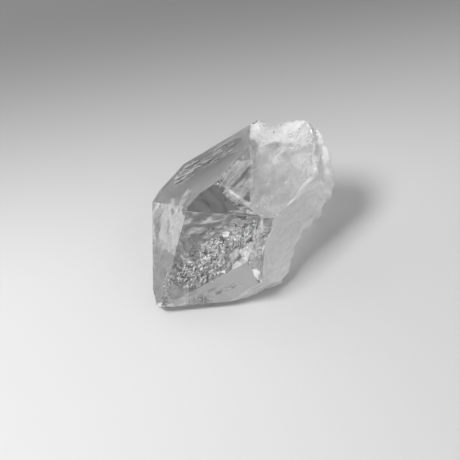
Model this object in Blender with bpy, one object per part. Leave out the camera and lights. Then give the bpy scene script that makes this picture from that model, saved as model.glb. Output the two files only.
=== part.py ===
"""Window quartz crystal: a stubby natural point that lies on its side, with its base broken off."""

import bmesh
import bpy
import math
from mathutils import Matrix, Vector, noise

# Lengths are in millimetres until the last step. While modelling, the origin is near the upper
# end of the window face, +X is to the right, +Y away from the viewer and +Z up.

# One pixel of the 460 x 460 photograph at the depth of the origin, and where its eye is
MM_PER_PX = 0.23
PHOTO_CENTRE = 230.0
EYE_PX = 922.0
EYE_ELEVATION = math.radians(50.0)

# The crystal axis points to the tip: left, toward the viewer and down. The roll about it puts
# the uppermost prism face where it is.
AXIS_HEADING = math.radians(-132.08)
AXIS_DIP = math.radians(14.75)
AXIS_ROLL = math.radians(-19.0)

# The sharp tip, where the window face meets its two neighbours
TIP = Vector((-73.1, -30.1, -92.2)) * MM_PER_PX

# Natural faces: turn about the axis, angle from the axis (quartz has 90 for the prism, 51.8 for
# the rhombohedra and 75.3 for the steep ones) and distance from the tip
NATURAL_FACES = {
    "window": (-0.45, 52.70, 0.0),
    "left": (60.32, 51.62, 0.0),
    "left_hidden": (120.02, 51.75, 3.43),
    "under_left": (180.10, 51.71, 1.84),
    "under_front": (239.54, 50.82, -0.14),
    "front": (300.28, 50.74, 0.0),
    "steep": (60.17, 75.05, 10.03),
    "prism_top": (0.03, 90.23, 21.07),
    "prism_left": (60.21, 88.48, 15.96),
    "prism_back": (120.00, 90.01, 19.92),
    "prism_front": (299.71, 90.05, 15.55),
}

# The flat broken underside that the crystal rests on, and the flat contact face at its back
REST_LEVEL = -104.0 * MM_PER_PX
BACK_NORMAL = Vector((0.07, 0.995, 0.03))
BACK_POINT = Vector((22.0, 122.5, 29.5)) * MM_PER_PX

# The chip off the lower right corner: one place on the front face, and two where it meets the
# rest level, as photograph columns and rows
CHIP_ON_FRONT = (258, 283)
CHIP_ON_REST = ((243, 299), (273, 287.5))

# The broad scar over the upper prism face: how far its surface lies below that face, in
# millimetres, along these photograph columns (across) and rows (down)
SCAR_COLUMNS = (244, 250, 254, 259, 266, 276, 288, 300, 312, 328)
SCAR_ROWS = {
    94: (17.0, 16.5, 14.0, 12.4, 11.4, 10.6, 10.0, 9.6, 9.6, 9.8),
    110: (12.2, 11.8, 10.2, 8.7, 8.2, 8.0, 7.0, 6.6, 6.8, 7.6),
    121: (9.7, 9.2, 7.0, 5.6, 7.1, 7.6, 5.4, 4.3, 4.4, 6.0),
    128: (6.0, 6.4, 5.5, 5.0, 5.4, 5.4, 4.3, 3.8, 4.2, 6.0),
    136: (3.0, 3.5, 3.5, 3.7, 3.8, 3.6, 3.2, 3.4, 4.2, 6.2),
    143: (0.2, 0.6, 1.6, 2.5, 2.8, 2.8, 2.5, 3.2, 4.2, 6.2),
    150: (-0.9, 0.0, 1.2, 2.4, 3.1, 3.5, 3.4, 3.4, 4.2, 6.2),
    165: (-0.9, 0.0, 1.2, 2.4, 3.2, 4.0, 4.2, 4.2, 4.6, 6.4),
    180: (-0.9, 0.0, 1.2, 2.3, 3.2, 4.0, 4.4, 4.6, 5.0, 6.4),
    195: (-0.9, 0.0, 1.0, 2.1, 3.0, 4.0, 4.6, 5.0, 5.5, 6.4),
    208: (-0.9, 0.0, 0.7, 1.6, 2.8, 3.9, 4.8, 5.5, 6.0, 6.4),
    217: (-1.4, -0.9, -0.7, -0.2, 1.4, 3.5, 4.8, 5.5, 6.0, 6.4),
    230: (-1.8, -1.6, -1.4, -0.9, 0.5, 2.8, 4.2, 5.0, 6.0, 6.4),
}

# The broken flank right of the scar, from the top down to the front. Each line gives a point of
# the ridge (photograph column and row, and how far it lies below the named face), a point of
# the outline with its depth behind the origin, where the wall below it meets the rest level, and
# how far two ledges between ridge and outline lie below the straight way.
FLANK = (
    ((303, 108), "prism_top", 6.2, (317, 113), 16.2, (302, 204), (0.0, 0.0)),
    ((309.5, 121.5), "prism_top", 4.8, (314.5, 127), 13.6, (302, 207), (0.4, 0.3)),
    ((311, 131), "prism_top", 4.2, (320, 135), 13.5, (302, 210), (0.7, 0.3)),
    ((312, 140), "prism_top", 4.1, (324, 143), 13.5, (301, 213), (0.9, 0.2)),
    ((314, 150), "prism_top", 4.4, (328.5, 153), 13.8, (300, 216), (1.1, 0.2)),
    ((316, 160), "prism_top", 4.6, (332, 165), 14.3, (299, 219), (1.2, -0.2)),
    ((316, 172), "prism_top", 4.9, (334, 178), 15.6, (298, 221), (1.1, -0.6)),
    ((311, 179), "prism_front", 0.5, (333, 190), 17.5, (297, 223), (0.8, -0.5)),
    ((306, 184), "prism_front", 0.3, (331, 198.5), 17.9, (296, 225), (0.4, -0.2)),
    ((301, 189), "prism_front", 0.2, (325.5, 202.5), 17.9, (294, 227), (0.2, 0.3)),
    ((296, 193), "prism_front", 0.2, (323.5, 210), 17.7, (292, 229), (0.4, 0.6)),
    ((291, 198), "prism_front", 0.1, (321.5, 216), 17.9, (290, 231), (0.7, 0.8)),
    ((285, 204), "prism_front", 0.0, (316, 218.5), 17.6, (288, 233), (0.8, 0.6)),
    ((280, 209), "prism_front", 0.0, (310, 226), 16.8, (286, 236), (0.5, 0.8)),
    ((275, 216), "prism_front", 0.0, (302, 233), 16.1, (284, 240), (0.3, 0.9)),
    ((269, 233), "prism_front", 0.0, (296.5, 245), 16.8, (280, 247), (0.7, 0.3)),
    ((263, 248), "prism_front", 0.0, (291, 261), 17.7, (274, 258), (1.0, 0.1)),
    ((261, 264), "prism_front", 0.0, (288.5, 272), 17.9, (269, 266), (0.3, -0.4)),
    ((261, 276), "prism_front", 0.0, (283, 280), 18.2, (268, 274), (0.2, -0.4)),
    ((261, 290), "prism_front", -0.4, (277, 291), 18.6, (267, 288), (0.2, 0.0)),
    ((262, 304), "prism_front", -1.0, (274, 306), 19.0, (266, 304), (0.1, 0.0)),
)
FLANK_LEDGES = (0.35, 0.70)
FLANK_SETBACK_PX = 7.0
FLANK_LIFT = 1.6
FLANK_HEADINGS = (10.0, -75.0)

# Relief of the broken surfaces: steps between the points above, height of the waves and how
# many of them there are to a millimetre, coarse and fine. The flank's are drawn out along the axis
# and fade towards the front.
SHEET_STEPS = 3
SCAR_RELIEF = 0.14
SCAR_WAVES = (0.45, 1.1)
FLANK_RELIEF = 0.30
FLANK_WAVES = (0.7, 1.5)
FLANK_FADE_ROWS = 20
STREAK_STRETCH = 0.8

# The cutters: how far they reach outside the crystal, how far the flank's goes on below the rest
# level, as a share of the wall above it, and the fan of its outer side, from the ridge to the foot
CUTTER_REACH = 26.0
BELOW_FOOT = 0.4
FAN_START = math.radians(75.0)
FAN_SWEEP = math.radians(135.0)

# The block that the faces cut down, how close to a face a corner counts as on it, and the
# shortest edge that stays
BLOCK_SIZE = 160.0
ON_FACE = 0.0001
SLIVER = 0.02

QUARTZ_COLOUR = (0.80, 0.82, 0.80, 1.0)
QUARTZ_ROUGHNESS = 0.12
MM = 0.001


def view_axes():
    """The viewer's right, up and toward directions."""
    sine = math.sin(EYE_ELEVATION)
    cosine = math.cos(EYE_ELEVATION)
    return Vector((1, 0, 0)), Vector((0, sine, cosine)), Vector((0, -cosine, sine))


VIEW_RIGHT, VIEW_UP, VIEW_TOWARD = view_axes()
EYE = VIEW_TOWARD * (EYE_PX * MM_PER_PX)


def crystal_frame():
    """Turn 0, turn 90 and the axis, as directions."""
    flat = math.cos(AXIS_DIP)
    axis = Vector((flat * math.cos(AXIS_HEADING), flat * math.sin(AXIS_HEADING), -math.sin(AXIS_DIP)))
    upward = Vector((0, 0, 1))
    zero = (upward - axis * upward.dot(axis)).normalized()
    zero = Matrix.Rotation(AXIS_ROLL, 3, axis) @ zero
    return zero, axis.cross(zero), axis


ZERO, THIRD, AXIS = crystal_frame()


def face_plane(name):
    """A point and the outward normal of a natural face."""
    turn, slope, far = NATURAL_FACES[name]
    around = ZERO * math.cos(math.radians(turn)) + THIRD * math.sin(math.radians(turn))
    normal = around * math.sin(math.radians(slope)) + AXIS * math.cos(math.radians(slope))
    return TIP + normal * far, normal


def sight_line(column, row):
    """The direction from the eye through a place in the photograph."""
    across = (column - PHOTO_CENTRE) / EYE_PX
    upward = (PHOTO_CENTRE - row) / EYE_PX
    return VIEW_RIGHT * across + VIEW_UP * upward - VIEW_TOWARD


def seen_at_depth(column, row, depth):
    """The point seen at a place in the photograph, this far behind the origin."""
    return EYE + sight_line(column, row) * (EYE_PX * MM_PER_PX + depth)


def seen_on_plane(column, row, point, normal):
    line = sight_line(column, row)
    return EYE + line * ((point - EYE).dot(normal) / line.dot(normal))


def seen_below_face(column, row, name, sink):
    """The point seen at a place in the photograph, this far below a natural face."""
    point, normal = face_plane(name)
    return seen_on_plane(column, row, point - normal * sink, normal)


def seen_on_rest(column, row):
    return seen_on_plane(column, row, Vector((0, 0, REST_LEVEL)), Vector((0, 0, 1)))


def chip_plane():
    top = seen_below_face(*CHIP_ON_FRONT, "front", 0.0)
    left, right = (seen_on_rest(*place) for place in CHIP_ON_REST)
    return top, (right - left).cross(top - left).normalized()


def curve_through(points, steps):
    """A smooth curve through the points, with this many steps between neighbours."""
    curve = []
    last = len(points) - 1
    for place in range(last):
        before = points[max(place - 1, 0)]
        start = points[place]
        end = points[place + 1]
        after = points[min(place + 2, last)]
        for step in range(steps):
            t = step / steps
            curve.append(0.5 * (
                2 * start + (end - before) * t
                + (2 * before - 5 * start + 4 * end - after) * t * t
                + (3 * start - before - 3 * end + after) * t * t * t))
    curve.append(points[last].copy())
    return curve


def smooth_sheet(rows, steps):
    """A finer sheet of points through a coarse one."""
    wide = [curve_through(row, steps) for row in rows]
    columns = [curve_through(list(column), steps) for column in zip(*wide)]
    return [list(row) for row in zip(*columns)]


def solid_between(name, inner, outer):
    """A closed cutter between two sheets with the same rows and columns."""
    mesh = bmesh.new()
    sheets = []
    for sheet in (inner, outer):
        sheets.append([[mesh.verts.new(point) for point in row] for row in sheet])
    near, far = sheets
    rows = len(inner)
    columns = len(inner[0])
    for row in range(rows - 1):
        for column in range(columns - 1):
            for sheet, flip in ((near, False), (far, True)):
                quad = [sheet[row][column], sheet[row + 1][column],
                        sheet[row + 1][column + 1], sheet[row][column + 1]]
                mesh.faces.new(reversed(quad) if flip else quad)
    for row in range(rows - 1):
        for column in (0, columns - 1):
            mesh.faces.new((near[row][column], far[row][column],
                            far[row + 1][column], near[row + 1][column]))
    for column in range(columns - 1):
        for row in (0, rows - 1):
            mesh.faces.new((near[row][column], near[row][column + 1],
                            far[row][column + 1], far[row][column]))
    bmesh.ops.triangulate(mesh, faces=mesh.faces[:])
    bmesh.ops.recalc_face_normals(mesh, faces=mesh.faces[:])
    data = bpy.data.meshes.new(name)
    mesh.to_mesh(data)
    mesh.free()
    cutter = bpy.data.objects.new(name, data)
    cutter.hide_render = True
    cutter.display_type = "WIRE"
    bpy.context.scene.collection.objects.link(cutter)
    return cutter


def natural_solid():
    """The crystal before its breaks: a block cut down by every natural face."""
    mesh = bmesh.new()
    bmesh.ops.create_cube(mesh, size=BLOCK_SIZE)
    planes = [face_plane(name) for name in NATURAL_FACES]
    planes.append((BACK_POINT, BACK_NORMAL.normalized()))
    planes.append((Vector((0, 0, REST_LEVEL)), Vector((0, 0, -1))))
    planes.append(chip_plane())
    for point, normal in planes:
        everything = mesh.verts[:] + mesh.edges[:] + mesh.faces[:]
        cut = bmesh.ops.bisect_plane(
            mesh, geom=everything, dist=ON_FACE, plane_co=point, plane_no=normal, clear_outer=True)
        rim = [item for item in cut["geom_cut"] if isinstance(item, bmesh.types.BMEdge)]
        if rim:
            bmesh.ops.edgenet_fill(mesh, edges=rim)
    bmesh.ops.recalc_face_normals(mesh, faces=mesh.faces[:])
    data = bpy.data.meshes.new("quartz_crystal")
    mesh.to_mesh(data)
    mesh.free()
    solid = bpy.data.objects.new("quartz_crystal", data)
    bpy.context.scene.collection.objects.link(solid)
    return solid


def waves(point, pitches):
    """Coarse waves with finer ones of half their height on them."""
    coarse, fine = pitches
    return noise.noise(point * coarse) + 0.5 * noise.noise(point * fine)


def scar_cutter():
    """What the break took off the upper prism face."""
    rows = []
    for row, sinks in SCAR_ROWS.items():
        rows.append([seen_below_face(column, row, "prism_top", sink)
                     for column, sink in zip(SCAR_COLUMNS, sinks)])
    inner = smooth_sheet(rows, SHEET_STEPS)
    for row in inner:
        for point in row:
            point += VIEW_TOWARD * (SCAR_RELIEF * waves(point, SCAR_WAVES))
    outer = [[point + VIEW_TOWARD * CUTTER_REACH for point in row] for row in inner]
    return solid_between("scar_cutter", inner, outer)


def flank_heading(share):
    """Which way is outward in the photograph, from the first line of the flank to the last."""
    return math.radians(FLANK_HEADINGS[0] + (FLANK_HEADINGS[1] - FLANK_HEADINGS[0]) * share)


def flank_rails(line, heading):
    """Across the broken flank: lifted edge, ridge, ledges, outline, wall, foot and below."""
    ridge_place, face, sink, rim_place, depth, foot_place, hollows = line
    ridge = seen_below_face(*ridge_place, face, sink)
    rim = seen_at_depth(*rim_place, depth)
    foot = seen_on_rest(*foot_place)
    column = ridge_place[0] - FLANK_SETBACK_PX * math.cos(heading)
    row = ridge_place[1] + FLANK_SETBACK_PX * math.sin(heading)
    lifted = seen_below_face(column, row, face, sink - FLANK_LIFT)
    ledges = [ridge.lerp(rim, share) - VIEW_TOWARD * hollow
              for share, hollow in zip(FLANK_LEDGES, hollows)]
    wall = rim.lerp(foot, 0.5)
    below = foot + (foot - wall) * BELOW_FOOT
    return [lifted, ridge, *ledges, rim, wall, foot, below]


def flank_cutter():
    """What the break took off the right and lower right."""
    last_line = len(FLANK) - 1
    inner = smooth_sheet([flank_rails(line, flank_heading(place / last_line))
                          for place, line in enumerate(FLANK)], SHEET_STEPS)
    last_row = len(inner) - 1
    last_column = len(inner[0]) - 1
    outer = []
    for place, row in enumerate(inner):
        heading = flank_heading(place / last_row)
        out = VIEW_RIGHT * math.cos(heading) + VIEW_UP * math.sin(heading)
        relief = FLANK_RELIEF * min(1.0, (last_row - place) / FLANK_FADE_ROWS)
        outer_row = []
        for step, point in enumerate(row):
            tilt = FAN_START - FAN_SWEEP * step / last_column
            direction = out * math.cos(tilt) + VIEW_TOWARD * math.sin(tilt)
            outer_row.append(point + direction * CUTTER_REACH)
            streaked = point - AXIS * (point.dot(AXIS) * STREAK_STRETCH)
            point += direction * (relief * waves(streaked, FLANK_WAVES))
        outer.append(outer_row)
    return solid_between("flank_cutter", inner, outer)


def cut_away(solid, cutter):
    cut = solid.modifiers.new(cutter.name, "BOOLEAN")
    cut.operation = "DIFFERENCE"
    cut.solver = "EXACT"
    cut.object = cutter


def apply_modifiers(solid):
    """Replaces the mesh with its evaluated one."""
    graph = bpy.context.evaluated_depsgraph_get()
    made = bpy.data.meshes.new_from_object(solid.evaluated_get(graph), depsgraph=graph)
    solid.modifiers.clear()
    solid.data = made


def clear_slivers(solid):
    mesh = bmesh.new()
    mesh.from_mesh(solid.data)
    bmesh.ops.remove_doubles(mesh, verts=mesh.verts[:], dist=SLIVER)
    bmesh.ops.dissolve_degenerate(mesh, edges=mesh.edges[:], dist=SLIVER)
    bmesh.ops.triangulate(mesh, faces=[face for face in mesh.faces if len(face.verts) > 3])
    mesh.to_mesh(solid.data)
    mesh.free()


def rest_on_ground(solid):
    """Moves the mesh so that the origin is the middle of the box's underside, in metres."""
    corners = [vertex.co for vertex in solid.data.vertices]
    low = [min(corner[axis] for corner in corners) for axis in range(3)]
    high = [max(corner[axis] for corner in corners) for axis in range(3)]
    middle = Vector(((low[0] + high[0]) / 2, (low[1] + high[1]) / 2, low[2]))
    solid.data.transform(Matrix.Scale(MM, 4) @ Matrix.Translation(-middle))


def quartz_material():
    material = bpy.data.materials.new("clear_quartz")
    material.use_nodes = True
    shader = material.node_tree.nodes["Principled BSDF"]
    shader.inputs["Base Color"].default_value = QUARTZ_COLOUR
    shader.inputs["Roughness"].default_value = QUARTZ_ROUGHNESS
    shader.inputs["Metallic"].default_value = 0.0
    return material


for thing in list(bpy.data.objects):
    bpy.data.objects.remove(thing, do_unlink=True)

crystal = natural_solid()
cutters = [scar_cutter(), flank_cutter()]
for tool in cutters:
    cut_away(crystal, tool)
apply_modifiers(crystal)
clear_slivers(crystal)
for tool in cutters:
    bpy.data.objects.remove(tool, do_unlink=True)
rest_on_ground(crystal)
crystal.data.materials.clear()
crystal.data.materials.append(quartz_material())
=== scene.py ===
"""Window quartz crystal: clear grown faces, a glassy scar, a milky broken flank and healed cracks inside."""

import math
import random

import bpy
import numpy as np
from mathutils import Matrix, Vector
from mathutils.kdtree import KDTree
from mathutils.noise import fractal


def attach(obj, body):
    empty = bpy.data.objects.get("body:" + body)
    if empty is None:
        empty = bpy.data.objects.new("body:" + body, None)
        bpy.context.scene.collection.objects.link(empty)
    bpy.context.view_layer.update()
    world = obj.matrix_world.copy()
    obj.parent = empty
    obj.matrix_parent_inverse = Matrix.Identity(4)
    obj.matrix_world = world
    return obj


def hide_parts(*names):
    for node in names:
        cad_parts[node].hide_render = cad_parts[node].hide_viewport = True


# Lengths are in millimetres and angles in degrees, unless a comment says otherwise.
MM = 0.001

# The crystal axis points to the tip. The roll about it puts the uppermost prism face in place.
AXIS_HEADING = -132.08
AXIS_DIP = 14.75
AXIS_ROLL = -19.0

# Grown faces: turn about the axis and angle from it
GROWN_FACES = {
    "window": (-0.45, 52.70),
    "left": (60.32, 51.62),
    "left_hidden": (120.02, 51.75),
    "under_left": (180.10, 51.71),
    "under_front": (239.54, 50.82),
    "front": (300.28, 50.74),
    "steep": (60.17, 75.05),
    "prism_top": (0.03, 90.23),
    "prism_left": (60.21, 88.48),
    "prism_back": (120.00, 90.01),
    "prism_front": (299.71, 90.05),
}


def crystal_axes():
    """Turn 0, turn 90 and the axis, as directions."""
    dip, heading = math.radians(AXIS_DIP), math.radians(AXIS_HEADING)
    axis = Vector((math.cos(dip) * math.cos(heading), math.cos(dip) * math.sin(heading), -math.sin(dip)))
    upward = Vector((0, 0, 1))
    zero = (upward - axis * upward.dot(axis)).normalized()
    zero = Matrix.Rotation(math.radians(AXIS_ROLL), 3, axis) @ zero
    return zero, axis.cross(zero), axis


ZERO, THIRD, AXIS = crystal_axes()


def direction(turn, slope):
    """The outward normal of a face from its turn about the crystal axis and its angle from it."""
    turn, slope = math.radians(turn), math.radians(slope)
    around = ZERO * math.cos(turn) + THIRD * math.sin(turn)
    return around * math.sin(slope) + AXIS * math.cos(slope)


# Flat faces
GROWN_NORMALS = {name: direction(*angles) for name, angles in GROWN_FACES.items()}
BACK_NORMAL = Vector((0.07, 0.995, 0.03)).normalized()
UNDER_NORMAL = Vector((0, 0, -1))
# A triangle is on a flat face when it is this near to it, and turned from it by this much at most
ON_FACE = 0.06
SAME_WAY = 1.0
# Kinds of face
KINDS = range(4)
GROWN, BROKEN, UNDER, BACK = KINDS
# Corners of the mesh nearer than this are one, and triangles turned by less than this are one flat face
MERGE = 0.005
FLAT = 0.5

# The edges of the grown faces are worn to narrow flats, the one above the window the widest
EDGE_WEAR = 0.3
WINDOW_EDGE_WEAR = 0.7
WINDOW_EDGE = {"window", "prism_top"}

# Cells of the underside, before each cell and triangle is refined this many times
CELL = 1.2
REFINE = 2

# The broken end: the flank lies past either of two planes, the sugary shelf is its upper rim
FLANK_WAY = (0.775, -0.632)
FLANK_START = 10.8
FLANK_RIGHT = 16.9
FLANK_BLEND = 0.4
SHELF_BACK = 8.5
SHELF_HEIGHT = 29.8
SHELF_BLEND = 1.8
# The upward part of a normal where the shelf starts, and where it is full
SHELF_SLOPE = (0.25, 0.7)
# Relief fades out over this much next to a grown face
FADE = 0.9
# Relief: region, pattern, height, size of the pattern across and along the axis, its centre and
# settings. A negative height only sinks. The rings of a wood pattern lie 0.31 of its size apart.
RELIEFS = (
    ("scar", "CLOUDS", 0.25, (3.2, 9.6), (0, 0, 0), {"noise_scale": 1.0, "noise_depth": 2}),
    ("scar", "WOOD", 0.07, (9, 9), (4, -6, 40),
     {"wood_type": "RINGNOISE", "noise_scale": 0.4, "turbulence": 4}),
    ("flank", "CLOUDS", 0.7, (2, 7), (0, 0, 0), {"noise_scale": 1.0, "noise_depth": 3}),
    ("flank", "WOOD", 0.24, (5, 7), (8, -2, 12),
     {"wood_type": "RINGNOISE", "noise_scale": 0.5, "turbulence": 5}),
    ("shelf", "CLOUDS", 0.25, (0.8, 0.8), (0, 0, 0), {"noise_scale": 1.0, "noise_depth": 3}),
    ("underside", "CLOUDS", -0.1, (2.5, 5), (0, 0, 0), {"noise_scale": 1.0, "noise_depth": 2}),
)

# How milky each stretch of the break is, from 0 for glassy to 1 for sugary
SCAR_MILK = 0.35
FLANK_MILK = 1.0
SHELF_MILK = 0.75
# The milk is cloudy: size of the clouds across and along the axis, the levels of the noise where
# they start and end, and what they multiply the milk by at those
CLOUDS = (1.6, 4.5)
CLOUD_EDGES = (0.3, 0.7)
CLOUDINESS = (0.55, 1.45)
# What the surface goes from and to as the quartz goes from clear to milky
CLEAR_TO_MILKY = {"Roughness": (0.0, 0.6), "Transmission Weight": (1.0, 0.3), "Coat Weight": (0.0, 0.9)}
# Fine ripples of the break: size, height, the milk where they start, and their strength where it is full
RIPPLES = (0.4, 1.6)
RIPPLE_HEIGHT = 0.16
RIPPLES_FROM = 0.16
RIPPLE_STRENGTH = 2.6
QUARTZ_IOR = 1.544
# How fast the crystal's depth takes light away, per metre
SMOKE = 3.0

# Ways of the cracks inside: out of the sheets and along them
UNDER_WINDOW = Vector((-0.48, -0.05, 0.876))
WINDOW = Vector((-0.2, -0.7, 0.68))
WINDOW_FOOT = Vector((0.806, 0.095, 0.583))
PRISM = Vector((-0.53, 0.35, 0.77))
ALONG_PRISM = Vector((0.732, -0.083, 0.677))
TOP = GROWN_NORMALS["prism_top"]
STEEP = GROWN_NORMALS["steep"]
LEFT = GROWN_NORMALS["left"]
FRONT = GROWN_NORMALS["front"]
# Films in the cracks, of gas or of quartz: IOR against the crystal, size of the grains across and
# along a way, that way, the levels of the noise where grains start and are full, the level where they
# turn white, and the shade of the darkest
FILMS = {
    "healed_crack": (1 / QUARTZ_IOR, (0.35, 0.9), AXIS, (0.48, 0.56), 0.4, "9a9a9a"),
    "streaked_crack": (1 / QUARTZ_IOR, (0.6, 4.5), ALONG_PRISM, (0.44, 0.52), 0.48, "6e6e6e"),
    "cloudy_crack": (1.0, (0.9, 3.5), AXIS, (0.25, 0.95), 0.35, "c8c8c8"),
}
# What a film goes from and to as it goes from clear to all grain
CLEAR_TO_GRAINY = {"Roughness": (0.0, 0.35), "Transmission Weight": (1.0, 0.1)}
# White grains come in clusters of this many grains, and turn white over this span of the noise
WHITE_CLUSTER = 1.7
WHITE_SPAN = 0.12
# Cracks: film, middle, way out of the sheet, way along it, length and width
CRACKS = {
    "near_tip": ("healed_crack", (-12.0, -14.2, 8.7), UNDER_WINDOW, AXIS, (7, 3.4)),
    "lowest": ("healed_crack", (-7.6, -14.0, 11.6), UNDER_WINDOW, AXIS, (9, 3.0)),
    "middle": ("healed_crack", (-8.0, -12.2, 13.6), UNDER_WINDOW, AXIS, (8, 4.6)),
    "upper": ("healed_crack", (-4.2, -10.9, 17.4), UNDER_WINDOW, AXIS, (9, 5)),
    "right": ("healed_crack", (0.4, -11.0, 19.9), UNDER_WINDOW, AXIS, (8, 5)),
    "foot": ("healed_crack", (-7.0, -15.0, 12.3), WINDOW, WINDOW_FOOT, (17, 2.2)),
    "bright": ("healed_crack", (1.4, -11.2, 22.2), WINDOW, AXIS, (7, 6)),
    "centre": ("healed_crack", (-7.0, -12.3, 16.4), WINDOW, AXIS, (13, 6)),
    "left": ("healed_crack", (-13.0, -13.6, 10.4), WINDOW, AXIS, (8, 4.5)),
    "prism_low": ("streaked_crack", (-13.0, 12.6, 16.6), PRISM, ALONG_PRISM, (12, 12)),
    "prism_high": ("streaked_crack", (-4.7, 12.3, 24.2), PRISM, ALONG_PRISM, (16, 11)),
    "top_face": ("cloudy_crack", (-0.6, -1.6, 29.8), TOP, AXIS, (15, 10)),
    "steep_face": ("cloudy_crack", (-13.2, -0.1, 21.6), STEEP, AXIS, (8, 5)),
    "left_face": ("cloudy_crack", (-16.6, -0.4, 16.1), LEFT, AXIS, (14, 7)),
    "front_face": ("cloudy_crack", (-5.7, -15.8, 7.0), FRONT, AXIS, (14, 4)),
}
CRACK_CELL = 0.11
CRACK_GAP = 0.03
# Relief of the sheets by their film, given as for the broken faces. A filled crack only waves.
WAVES = ("", "CLOUDS", 0.35, (2.2, 5), (0, 0, 0), {"noise_scale": 1.0, "noise_depth": 1})
CRUMPLES = ("", "CLOUDS", 0.2, (0.45, 1.3), (0, 0, 0), {"noise_scale": 1.0, "noise_depth": 2})
SHEET_RELIEFS = {
    "healed_crack": (WAVES, CRUMPLES),
    "streaked_crack": (WAVES, CRUMPLES),
    "cloudy_crack": (WAVES,),
}
# Folds of a sheet that turn by more than this are sharp
CRACK_FOLD = 60.0
# The outline of a crack leaves its ellipse by this share at most, in bites of this size and this
# many finer ones, each half the size of the one before
CRACK_RAGGED = 0.45
CRACK_BITE = 1.1
FINER_BITES = 4
# Nearest that a crack comes to the surface
CRACK_MARGIN = 0.4
# Veils of pores: film, middle, way out of the veil, way along it, length and width, how many pores,
# and their shortest and longest length
VEILS = {
    "window_foot": ("healed_crack", (-8.0, -14.5, 10.5), Vector((0.1, -0.5, 0.85)), AXIS, (17, 2),
                    60, (0.3, 0.8)),
    "beside_left_prism": ("streaked_crack", (-7.9, 12.0, 21.9), Vector((-0.634, 0.28, 0.72)),
                          Vector((0.76, 0.2, 0.62)), (19, 3), 160, (0.4, 1.4)),
    "tip": ("healed_crack", (-18.0, -14.0, 6.0), Vector((-0.7, -0.3, 0.6)), AXIS, (6, 2.5),
            60, (0.3, 0.7)),
}
# A veil waves along its length, dishes across its width and scatters its pores about it
VEIL_WAVE = 1.2
VEIL_DISH = 1.5
VEIL_SCATTER = 0.35
PORE_SEED = 7
PORE_KINDS = 5
# Width, depth and dents of a pore 1 mm long, and the least and most that its girth is multiplied by
PORE_WIDTH = 0.3
PORE_DEPTH = 0.2
PORE_DENT = 0.05
PORE_GIRTHS = (0.7, 1.3)
# How far pores mostly turn in the veil, and roll about their length
PORE_TURN = 11.5
PORE_ROLL = 28.6
# Nearest that a pore's middle comes to the surface
PORE_MARGIN = 0.35

# The camera looks at the upper end of the window face
CAMERA_AIM = (-2.947, -11.559, 23.92)
CAMERA_DISTANCE = 212.06
CAMERA_ELEVATION = 50.0
CAMERA_LENS = 72.16
SENSOR = 36.0
NEAREST_SEEN = 1.0
FARTHEST_SEEN = 10000.0

# The key light comes from the left and a little from the front, high up. Power is in watts.
KEY_WAY = (-0.431, -0.254, 0.866)
KEY_DISTANCE = 350.0
KEY_SIZE = 110.0
KEY_POWER = 1.07
# The room is dim but for a few large soft lights: the way to each, the cosines of the angles from
# it where the light starts and where it is full, and its level as radiance
ROOM_LEVEL = 0.08
ROOM_LIGHTS = {
    "front": ((0.42, -0.72, 0.55), (0.84, 0.97), 0.72),
    "front left": ((-0.22, -0.93, 0.3), (0.945, 0.975), 1.0),
    "back": ((-0.15, 0.61, 0.78), (0.85, 0.93), 0.32),
    "left": ((-0.85, 0.3, 0.45), (0.75, 0.9), 1.1),
    "right": ((0.85, 0.1, 0.5), (0.75, 0.9), 0.9),
}
# Where the room is dimmer, behind the camera and low down: the way, the cosines of the angles from
# it where the change starts and ends, and the share of light before and after
ROOM_SHADES = {
    "behind the camera": ((0.2, -0.5, 0.84), (0.935, 0.975), (1.0, 0.3)),
    "low down": ((0, 0, 1), (0.0, 0.35), (0.2, 1.0)),
}
INNER_BOUNCES = 32

# The floor is a hair below the underside, as a film of air parts them. Its colour is painted darker away
# from the camera between two distances from the crystal's middle: painted shade where the light falls off.
FLOOR_SIZE = 3000.0
FLOOR_GAP = 0.05
FLOOR_PAINTED_SHADE_WAY = (-0.3, 1.0, 0.0)
FLOOR_PAINTED_SHADE_START = 0.0
FLOOR_PAINTED_SHADE_END = 120.0


# Materials

def linear(hex_colour):
    """A linear colour from an sRGB one."""
    values = [int(hex_colour[place:place + 2], 16) / 255 for place in (0, 2, 4)]
    return [v / 12.92 if v <= 0.04045 else ((v + 0.055) / 1.055) ** 2.4 for v in values] + [1.0]


def new_material(name):
    """A material with its node tree and its shader."""
    material = bpy.data.materials.new(name)
    material.use_nodes = True
    tree = material.node_tree
    return material, tree, tree.nodes["Principled BSDF"]


def add(tree, kind, inputs=None, **settings):
    """Adds a node. Inputs are values or the sockets that feed them."""
    made = tree.nodes.new(kind)
    for name, value in settings.items():
        setattr(made, name, value)
    for name, value in (inputs or {}).items():
        if isinstance(value, bpy.types.NodeSocket):
            tree.links.new(value, made.inputs[name])
        else:
            made.inputs[name].default_value = value
    return made


def noise(tree, pitch, way=AXIS, detail=2.0):
    """Noise drawn out along the crystal axis or another way. Pitch is across and along."""
    place = add(tree, "ShaderNodeTexCoord").outputs["Object"]
    across, along = pitch
    turn = way.to_track_quat("Z", "Y").to_euler()
    drawn = add(tree, "ShaderNodeMapping", {"Vector": place, "Rotation": turn,
                                            "Scale": (across * MM, across * MM, along * MM)},
                vector_type="TEXTURE")
    return add(tree, "ShaderNodeTexNoise", {"Vector": drawn.outputs["Vector"], "Scale": 1.0,
                                            "Detail": detail}).outputs["Fac"]


def vary(tree, share, ends):
    """Takes each of these shader values from its first end to its second as the share goes from 0 to 1."""
    for name, (first, second) in ends.items():
        value = add(tree, "ShaderNodeMapRange", {"Value": share, "To Min": first, "To Max": second})
        tree.links.new(value.outputs["Result"], tree.nodes["Principled BSDF"].inputs[name])


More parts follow.
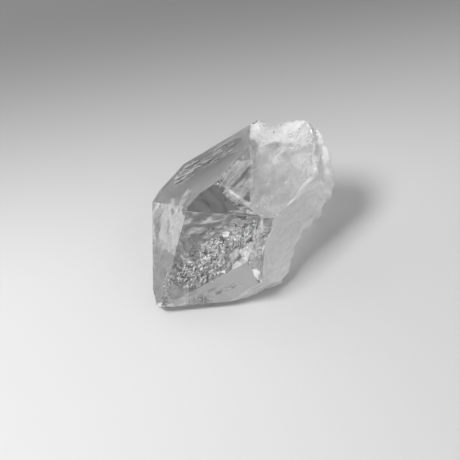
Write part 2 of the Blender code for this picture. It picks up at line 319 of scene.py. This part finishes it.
def clear_quartz():
    """Rock crystal: colourless and glass-clear, faintly smoky in its depth. Its grown faces are
    polished. The break is glassy and rippled, and milky where fine cracks and grain scatter light."""
    material, tree, shader = new_material("clear_quartz")
    shader.inputs["Base Color"].default_value = linear("f8f8f8")
    shader.inputs["IOR"].default_value = QUARTZ_IOR
    shader.inputs["Coat Roughness"].default_value = 0.08
    even = add(tree, "ShaderNodeAttribute", attribute_name="milk").outputs["Fac"]
    clouds = add(tree, "ShaderNodeMapRange", {"Value": noise(tree, CLOUDS),
                                              "From Min": CLOUD_EDGES[0], "From Max": CLOUD_EDGES[1],
                                              "To Min": CLOUDINESS[0], "To Max": CLOUDINESS[1]})
    cloudy = add(tree, "ShaderNodeMath", {0: even, 1: clouds.outputs["Result"]}, operation="MULTIPLY")
    milk = cloudy.outputs["Value"]
    vary(tree, milk, CLEAR_TO_MILKY)
    strength = add(tree, "ShaderNodeMapRange", {"Value": milk, "From Min": RIPPLES_FROM,
                                                "To Max": RIPPLE_STRENGTH})
    ripples = add(tree, "ShaderNodeBump", {"Height": noise(tree, RIPPLES, detail=3.0),
                                           "Distance": RIPPLE_HEIGHT * MM,
                                           "Strength": strength.outputs["Result"]}).outputs["Normal"]
    tree.links.new(ripples, shader.inputs["Normal"])
    tree.links.new(ripples, shader.inputs["Coat Normal"])
    depth = add(tree, "ShaderNodeVolumeAbsorption", {"Color": linear("808080"), "Density": SMOKE})
    tree.links.new(depth.outputs["Volume"], tree.nodes["Material Output"].inputs["Volume"])
    return material


def healed_crack(name, ior, pitch, way, edges, white_edge, grey):
    """Healed crack: a film in the quartz with white and grey grains along it, where the crack has half
    closed. A film of gas mirrors at a low angle, and one that has filled with quartz is only cloudy."""
    material, tree, shader = new_material(name)
    shader.inputs["IOR"].default_value = ior
    clusters = [size * WHITE_CLUSTER for size in pitch]
    white = add(tree, "ShaderNodeMapRange", {"Value": noise(tree, clusters, way, detail=1.0),
                                             "From Min": white_edge, "From Max": white_edge + WHITE_SPAN})
    colour = add(tree, "ShaderNodeMix", {"Factor": white.outputs["Result"], "A": linear(grey),
                                         "B": linear("ffffff")}, data_type="RGBA")
    tree.links.new(colour.outputs["Result"], shader.inputs["Base Color"])
    grains = add(tree, "ShaderNodeMapRange", {"Value": noise(tree, pitch, way),
                                              "From Min": edges[0], "From Max": edges[1]})
    vary(tree, grains.outputs["Result"], CLEAR_TO_GRAINY)
    return material


def floor_material():
    """Matt pale board, its colour painted darker toward the back: painted shade where the light falls off.
    """
    material, tree, shader = new_material("pale_floor_painted_falloff")
    place = add(tree, "ShaderNodeTexCoord").outputs["Object"]
    away = add(tree, "ShaderNodeVectorMath", {0: place, 1: FLOOR_PAINTED_SHADE_WAY}, operation="DOT_PRODUCT")
    share = add(tree, "ShaderNodeMapRange", {"Value": away.outputs["Value"], "From Min": FLOOR_PAINTED_SHADE_START * MM,
                                             "From Max": FLOOR_PAINTED_SHADE_END * MM}, interpolation_type="SMOOTHSTEP")
    # Painted shade: the floor colour darkens toward the back to stand in for the light falling off there
    colour = add(tree, "ShaderNodeMix", {"Factor": share.outputs["Result"], "A": linear("cdcdcd"),
                                         "B": linear("838383")}, data_type="RGBA")
    tree.links.new(colour.outputs["Result"], shader.inputs["Base Color"])
    shader.inputs["Roughness"].default_value = 0.75
    return material


# Mesh tools

def only(item):
    """Selects and activates one object."""
    bpy.ops.object.select_all(action="DESELECT")
    item.select_set(True)
    bpy.context.view_layer.objects.active = item


def apply(body, kind, name, **settings):
    """Adds a modifier and applies it."""
    modifier = body.modifiers.new(name, kind)
    for key, value in settings.items():
        setattr(modifier, key, value)
    only(body)
    bpy.ops.object.modifier_apply(modifier=modifier.name)


def edit_faces(body, wanted):
    """Enters edit mode with these faces selected, and nothing else."""
    only(body)
    mesh = body.data
    mesh.vertices.foreach_set("select", np.zeros(len(mesh.vertices), bool))
    mesh.edges.foreach_set("select", np.zeros(len(mesh.edges), bool))
    mesh.polygons.foreach_set("select", wanted)
    bpy.ops.object.mode_set(mode="EDIT")
    bpy.ops.mesh.select_mode(type="FACE")


def press(body, region, pattern, height, size, centre, settings):
    """Raises and sinks a region, or all of a body, by a pattern that is drawn out along the axis."""
    across, along = size
    guide = bpy.data.objects.new("guide", None)
    bpy.context.scene.collection.objects.link(guide)
    guide.location = Vector(centre) * MM
    guide.rotation_euler = AXIS.to_track_quat("Z", "Y").to_euler()
    guide.scale = Vector((across, across, along)) * MM
    bpy.context.view_layer.update()
    texture = bpy.data.textures.new("relief", pattern)
    for key, value in settings.items():
        setattr(texture, key, value)
    apply(body, "DISPLACE", "relief", texture=texture, texture_coords="OBJECT", texture_coords_object=guide,
          vertex_group=region, strength=height * MM, mid_level=0.5 if height > 0 else 0.0)
    bpy.data.textures.remove(texture)
    bpy.data.objects.remove(guide, do_unlink=True)


# The crystal's surface

def copy_of_node(node, name):
    """A merged copy of a CAD node's mesh, without the notes that mark the node."""
    made = node.copy()
    made.data = node.data.copy()
    made.name = name
    made.data.name = name
    for note in list(made.keys()):
        del made[note]
    made.parent = None
    bpy.context.scene.collection.objects.link(made)
    only(made)
    bpy.ops.object.mode_set(mode="EDIT")
    bpy.ops.mesh.select_all(action="SELECT")
    bpy.ops.mesh.remove_doubles(threshold=MERGE * MM)
    bpy.ops.object.mode_set(mode="OBJECT")
    return made


def mark_kinds(mesh):
    """Notes each face's kind: on a grown face, the flat back, the underside, or the break."""
    flat_faces = [(normal, GROWN) for normal in GROWN_NORMALS.values()]
    flat_faces += [(BACK_NORMAL, BACK), (UNDER_NORMAL, UNDER)]
    kinds = np.full(len(mesh.polygons), BROKEN, np.int32)
    for normal, kind in flat_faces:
        reach = max(vertex.co.dot(normal) for vertex in mesh.vertices)
        for polygon in mesh.polygons:
            near = reach - polygon.center.dot(normal) < ON_FACE * MM
            if near and polygon.normal.angle(normal, math.pi) < math.radians(SAME_WAY):
                kinds[polygon.index] = kind
    mesh.attributes.new("kind", "INT", "FACE").data.foreach_set("value", kinds)
    mesh.polygons.foreach_set("use_smooth", kinds != GROWN)


def kinds_of(mesh):
    """Each face's kind, as it was noted."""
    values = np.zeros(len(mesh.polygons), np.int32)
    mesh.attributes["kind"].data.foreach_get("value", values)
    return values


def join_flat_triangles(body, kind):
    """Joins the triangles of each flat face of one kind into a whole face."""
    edit_faces(body, kinds_of(body.data) == kind)
    bpy.ops.mesh.dissolve_limited(angle_limit=math.radians(FLAT))
    bpy.ops.object.mode_set(mode="OBJECT")


def sides_of_edges(mesh):
    """The faces on either side of each edge."""
    beside = {}
    for polygon in mesh.polygons:
        for key in polygon.edge_keys:
            beside.setdefault(key, []).append(polygon)
    return [beside[tuple(sorted(edge.vertices))] for edge in mesh.edges]


def wear_edges(body):
    """Cuts a narrow flat along each edge between two grown faces."""
    mesh = body.data
    kinds = kinds_of(mesh)
    places = {}
    for edge, sides in zip(mesh.edges, sides_of_edges(mesh)):
        names = {min(GROWN_NORMALS, key=lambda name: GROWN_NORMALS[name].angle(side.normal, 0))
                 for side in sides}
        if len(names) == 2 and all(kinds[side.index] == GROWN for side in sides):
            places[tuple(sorted(names))] = mesh.vertices[edge.vertices[0]].co.copy()
    for names, place in places.items():
        one, other = (GROWN_NORMALS[name] for name in names)
        outward = (one + other).normalized()
        width = WINDOW_EDGE_WEAR if set(names) == WINDOW_EDGE else EDGE_WEAR
        depth = width * math.tan(one.angle(other) / 2) / 2
        edit_faces(body, np.ones(len(mesh.polygons), bool))
        bpy.ops.mesh.bisect(plane_co=place - outward * depth * MM, plane_no=outward, use_fill=True,
                            clear_outer=True)
        bpy.ops.object.mode_set(mode="OBJECT")


def grid_flat_face(body, kind, ways):
    """Parts a flat face into square cells, so that it can take relief."""
    for way in map(Vector, ways):
        reach = [vertex.co.dot(way) for vertex in body.data.vertices]
        steps = int((max(reach) - min(reach)) / (CELL * MM))
        for step in range(1, steps + 1):
            edit_faces(body, kinds_of(body.data) == kind)
            bpy.ops.mesh.bisect(plane_co=way * (min(reach) + step * CELL * MM), plane_no=way)
            bpy.ops.object.mode_set(mode="OBJECT")


def crease_flat_faces(body):
    """Keeps the outlines of the flat faces sharp when the body is refined."""
    mesh = body.data
    kinds = kinds_of(mesh)
    creases = np.zeros(len(mesh.edges), np.float32)
    for edge, sides in zip(mesh.edges, sides_of_edges(mesh)):
        broken = [kinds[side.index] == BROKEN for side in sides]
        turn = sides[0].normal.angle(sides[-1].normal, 0.0)
        if not all(broken) and (any(broken) or turn > math.radians(2 * SAME_WAY)):
            creases[edge.index] = 1.0
    mesh.attributes.new("crease_edge", "FLOAT", "EDGE").data.foreach_set("value", creases)
    mesh.edges.foreach_set("use_edge_sharp", creases > 0)


def smoothstep(values, low, high):
    """0 below the low end, 1 above the high end, and smooth between."""
    share = np.clip((values - low) / (high - low), 0, 1)
    return share * share * (3 - 2 * share)


def weigh(body, name, weights):
    """Keeps weights as a vertex group, in steps of a hundredth."""
    group = body.vertex_groups.new(name=name)
    levels = np.round(np.clip(weights, 0, 1), 2)
    for level in np.unique(levels):
        if level > 0:
            group.add(np.flatnonzero(levels == level).tolist(), float(level), "REPLACE")


def far_from(places, targets):
    """How far each place is from the nearest of the targets."""
    tree = KDTree(len(targets))
    for number, target in enumerate(targets):
        tree.insert(target, number)
    tree.balance()
    return np.array([tree.find(place)[2] for place in places])


def mark_regions(body):
    """Weights for the relief of each region, and how milky the break is at each vertex."""
    mesh = body.data
    places = np.zeros(len(mesh.vertices) * 3)
    mesh.vertices.foreach_get("co", places)
    places = places.reshape(-1, 3) / MM
    normals = np.zeros(len(mesh.vertices) * 3)
    mesh.vertex_normals.foreach_get("vector", normals)
    upward = normals.reshape(-1, 3)[:, 2]
    on = np.zeros((len(KINDS), len(places)), bool)
    for polygon, kind in zip(mesh.polygons, kinds_of(mesh)):
        on[kind, list(polygon.vertices)] = True
    rim = places[on[GROWN] & (on[BROKEN] | on[UNDER] | on[BACK])]
    fade = np.where(on[GROWN], 0.0, smoothstep(far_from(places, rim), 0.0, FADE))
    past = np.maximum(places[:, :2] @ np.array(FLANK_WAY) - FLANK_START, places[:, 0] - FLANK_RIGHT)
    flank = smoothstep(past, -FLANK_BLEND, FLANK_BLEND)
    shelf = (smoothstep(places[:, 1], SHELF_BACK - SHELF_BLEND, SHELF_BACK + SHELF_BLEND)
             * smoothstep(places[:, 2], SHELF_HEIGHT - SHELF_BLEND, SHELF_HEIGHT + SHELF_BLEND)
             * smoothstep(upward, *SHELF_SLOPE))
    broken = on[BROKEN] & ~on[UNDER]
    weigh(body, "scar", fade * broken * (1 - flank) * (1 - shelf))
    weigh(body, "flank", fade * broken * flank * (1 - shelf))
    weigh(body, "shelf", fade * broken * shelf)
    weigh(body, "underside", fade * (on[UNDER] & ~on[BROKEN] & ~on[BACK]))
    milk = np.maximum(SCAR_MILK + (FLANK_MILK - SCAR_MILK) * flank, SHELF_MILK * shelf)
    milk = milk * (broken & ~on[GROWN])
    mesh.attributes.new("milk", "FLOAT", "POINT").data.foreach_set("value", milk.astype(np.float32))


def settle(body):
    """Lifts whatever the relief pushed below the plane that the crystal stands on."""
    for vertex in body.data.vertices:
        vertex.co.z = max(vertex.co.z, 0.0)


def crystal_surface(node):
    """The crystal with worn edges, and with relief on its break and its underside."""
    body = copy_of_node(node, "crystal")
    body.data.materials.clear()
    body.data.materials.append(clear_quartz())
    mark_kinds(body.data)
    for kind in (GROWN, UNDER, BACK):
        join_flat_triangles(body, kind)
    wear_edges(body)
    grid_flat_face(body, UNDER, ((1, 0, 0), (0, 1, 0)))
    crease_flat_faces(body)
    apply(body, "SUBSURF", "fine", levels=REFINE, render_levels=REFINE)
    mark_regions(body)
    for relief in RELIEFS:
        press(body, *relief)
    settle(body)
    return body


# Flaws inside the crystal

def inside(crystal, place, margin):
    """Whether a place is in the crystal, and no nearer to its surface than the margin."""
    found, nearest, normal, _ = crystal.closest_point_on_mesh(place)
    return found and (nearest - place).dot(normal) > margin * MM


def sheet_turn(outward, along):
    """The turn that lays a sheet: x comes to lie across it, y along it, and z out of it."""
    outward = outward.normalized()
    along = (along - outward * along.dot(outward)).normalized()
    return Matrix((along.cross(outward), along, outward)).transposed()


def crack_sheet(name, crystal, reliefs, middle, outward, along, size):
    """A crack: a thin rippled sheet with a ragged outline."""
    length, width = size
    bpy.ops.object.select_all(action="DESELECT")
    bpy.ops.mesh.primitive_grid_add(x_subdivisions=int(width / CRACK_CELL),
                                    y_subdivisions=int(length / CRACK_CELL), size=MM)
    sheet = bpy.context.object
    sheet.name = "crack_" + name
    mesh = sheet.data
    bpy.ops.object.mode_set(mode="EDIT")
    bpy.ops.transform.resize(value=(width, length, 1))
    bpy.ops.object.mode_set(mode="OBJECT")
    cut = []
    for face in mesh.polygons:
        reach = math.hypot(2 * face.center.x / (width * MM), 2 * face.center.y / (length * MM))
        bite = fractal(face.center / (CRACK_BITE * MM) + Vector(middle), 1.0, 2.0, FINER_BITES)
        cut.append(reach > 1 - CRACK_RAGGED * (1 + bite) / 2)
    sheet.matrix_world = Matrix.Translation(Vector(middle) * MM) @ sheet_turn(outward, along).to_4x4()
    bpy.ops.object.transform_apply(location=True, rotation=True, scale=True)
    for face in mesh.polygons:
        cut[face.index] = cut[face.index] or not inside(crystal, face.center, CRACK_MARGIN)
    edit_faces(sheet, np.array(cut))
    bpy.ops.mesh.delete(type="FACE")
    bpy.ops.object.mode_set(mode="OBJECT")
    for relief in reliefs:
        press(sheet, *relief)
    apply(sheet, "SOLIDIFY", "gap", thickness=CRACK_GAP * MM, offset=0.0)
    bpy.ops.object.shade_smooth_by_angle(angle=math.radians(CRACK_FOLD))
    return sheet


def pore_seed(number):
    """One pore, 1 mm long before it is placed: a dented tube with closed ends."""
    bpy.ops.object.select_all(action="DESELECT")
    bpy.ops.mesh.primitive_ico_sphere_add(subdivisions=2, radius=0.5 * MM)
    seed = bpy.context.object
    bpy.ops.object.mode_set(mode="EDIT")
    bpy.ops.transform.resize(value=(PORE_WIDTH, 1.0, PORE_DEPTH))
    bpy.ops.transform.vertex_random(offset=PORE_DENT * MM, seed=number)
    bpy.ops.mesh.faces_shade_smooth()
    bpy.ops.object.mode_set(mode="OBJECT")
    return seed


def veil(name, crystal, chance, middle, outward, along, size, count, lengths):
    """A veil of pores, left where a crack has healed."""
    laid = sheet_turn(outward, along)
    seeds = [pore_seed(number) for number in range(PORE_KINDS)]
    pores = []
    for _ in range(count):
        reach, turn = math.sqrt(chance.random()) / 2, chance.uniform(0, 2 * math.pi)
        u, v = reach * math.cos(turn), reach * math.sin(turn)
        off = chance.gauss(0, VEIL_SCATTER) + VEIL_WAVE * math.sin(3 * u) - VEIL_DISH * v * v
        place = (Vector(middle) + laid @ Vector((v * size[1], u * size[0], off))) * MM
        if not inside(crystal, place, PORE_MARGIN):
            continue
        girth, length = chance.uniform(*PORE_GIRTHS), chance.uniform(*lengths)
        turned = Matrix.Rotation(chance.gauss(0, math.radians(PORE_TURN)), 3, "Z")
        rolled = Matrix.Rotation(chance.gauss(0, math.radians(PORE_ROLL)), 3, "Y")
        pore = chance.choice(seeds).copy()
        pore.data = pore.data.copy()
        pore.matrix_world = (Matrix.Translation(place) @ (laid @ turned @ rolled).to_4x4()
                             @ Matrix.Diagonal((girth, length, girth, 1)))
        bpy.context.scene.collection.objects.link(pore)
        pores.append(pore)
    only(pores[0])
    for pore in pores:
        pore.select_set(True)
    bpy.ops.object.join()
    bpy.ops.object.transform_apply(location=True, rotation=True, scale=True)
    for seed in seeds:
        bpy.data.objects.remove(seed, do_unlink=True)
    pores[0].name = "healed_crack_" + name
    return pores[0]


def keep_flaw(flaw, film):
    """Gives a flaw its film, and holds it in the crystal."""
    flaw.data.materials.clear()
    flaw.data.materials.append(film)
    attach(flaw, "root")


# Camera, floor and light

def place_camera():
    """A camera in front of the crystal, above it."""
    data = bpy.data.cameras.new("camera")
    camera = bpy.data.objects.new("camera", data)
    bpy.context.scene.collection.objects.link(camera)
    tilt = math.radians(CAMERA_ELEVATION)
    back = Vector((0, -math.cos(tilt), math.sin(tilt)))
    camera.location = (Vector(CAMERA_AIM) + back * CAMERA_DISTANCE) * MM
    camera.rotation_euler = (math.radians(90.0 - CAMERA_ELEVATION), 0, 0)
    data.sensor_width = SENSOR
    data.lens = CAMERA_LENS
    data.clip_start = NEAREST_SEEN * MM
    data.clip_end = FARTHEST_SEEN * MM
    bpy.context.scene.camera = camera


def lay_floor():
    """A plain floor under the crystal."""
    bpy.ops.object.select_all(action="DESELECT")
    bpy.ops.mesh.primitive_plane_add(size=FLOOR_SIZE * MM, location=(0, 0, -FLOOR_GAP * MM))
    floor = bpy.context.object
    floor.name = "floor"
    floor.data.materials.append(floor_material())


def key_light():
    """A round soft light that shines at the crystal. The faces don't mirror it, because its image
    would be a plain white disc in a flat face."""
    data = bpy.data.lights.new("key", "AREA")
    data.shape = "DISK"
    data.size = KEY_SIZE * MM
    data.energy = KEY_POWER
    light = bpy.data.objects.new("key", data)
    bpy.context.scene.collection.objects.link(light)
    way = Vector(KEY_WAY).normalized()
    light.location = way * KEY_DISTANCE * MM
    light.rotation_euler = way.to_track_quat("Z", "Y").to_euler()
    light.visible_glossy = False


def room_share(tree, way, toward, edge, levels):
    """A level that changes from the first to the second as a way comes near the one given."""
    toward = Vector(toward).normalized()
    near = add(tree, "ShaderNodeVectorMath", {0: way, 1: toward}, operation="DOT_PRODUCT")
    return add(tree, "ShaderNodeMapRange", {"Value": near.outputs["Value"],
                                            "From Min": edge[0], "From Max": edge[1],
                                            "To Min": levels[0], "To Max": levels[1]},
               interpolation_type="SMOOTHSTEP").outputs["Result"]


def room_light():
    """A dim room with large soft lights."""
    world = bpy.data.worlds.new("room")
    bpy.context.scene.world = world
    world.use_nodes = True
    tree = world.node_tree
    way = add(tree, "ShaderNodeTexCoord").outputs["Generated"]
    level = ROOM_LEVEL
    for toward, edge, strength in ROOM_LIGHTS.values():
        light = room_share(tree, way, toward, edge, (0.0, strength))
        level = add(tree, "ShaderNodeMath", {0: level, 1: light}, operation="ADD").outputs["Value"]
    for toward, edge, levels in ROOM_SHADES.values():
        shade = room_share(tree, way, toward, edge, levels)
        level = add(tree, "ShaderNodeMath", {0: level, 1: shade}, operation="MULTIPLY").outputs["Value"]
    tree.links.new(level, tree.nodes["Background"].inputs["Strength"])
    tree.nodes["Background"].inputs["Color"].default_value = linear("ffffff")


def light_paths():
    """Light inside a clear crystal bounces many times before it leaves."""
    cycles = bpy.context.scene.cycles
    cycles.max_bounces = INNER_BOUNCES
    cycles.glossy_bounces = INNER_BOUNCES
    cycles.transmission_bounces = INNER_BOUNCES


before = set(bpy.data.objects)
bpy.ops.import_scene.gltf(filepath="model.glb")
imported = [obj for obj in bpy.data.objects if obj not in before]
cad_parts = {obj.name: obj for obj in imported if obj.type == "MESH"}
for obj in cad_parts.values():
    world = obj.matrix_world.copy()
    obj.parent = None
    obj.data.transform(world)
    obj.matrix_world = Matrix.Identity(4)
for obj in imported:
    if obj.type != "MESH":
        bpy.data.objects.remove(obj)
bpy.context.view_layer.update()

crystal = crystal_surface(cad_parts["quartz_crystal"])
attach(crystal, "root")
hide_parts("quartz_crystal")

films = {name: healed_crack(name, *values) for name, values in FILMS.items()}
for name, (film, *shape) in CRACKS.items():
    keep_flaw(crack_sheet(name, crystal, SHEET_RELIEFS[film], *shape), films[film])
chance = random.Random(PORE_SEED)
for name, (film, *shape) in VEILS.items():
    keep_flaw(veil(name, crystal, chance, *shape), films[film])

lay_floor()
place_camera()
key_light()
room_light()
light_paths()
bpy.context.scene.view_settings.view_transform = "Standard"
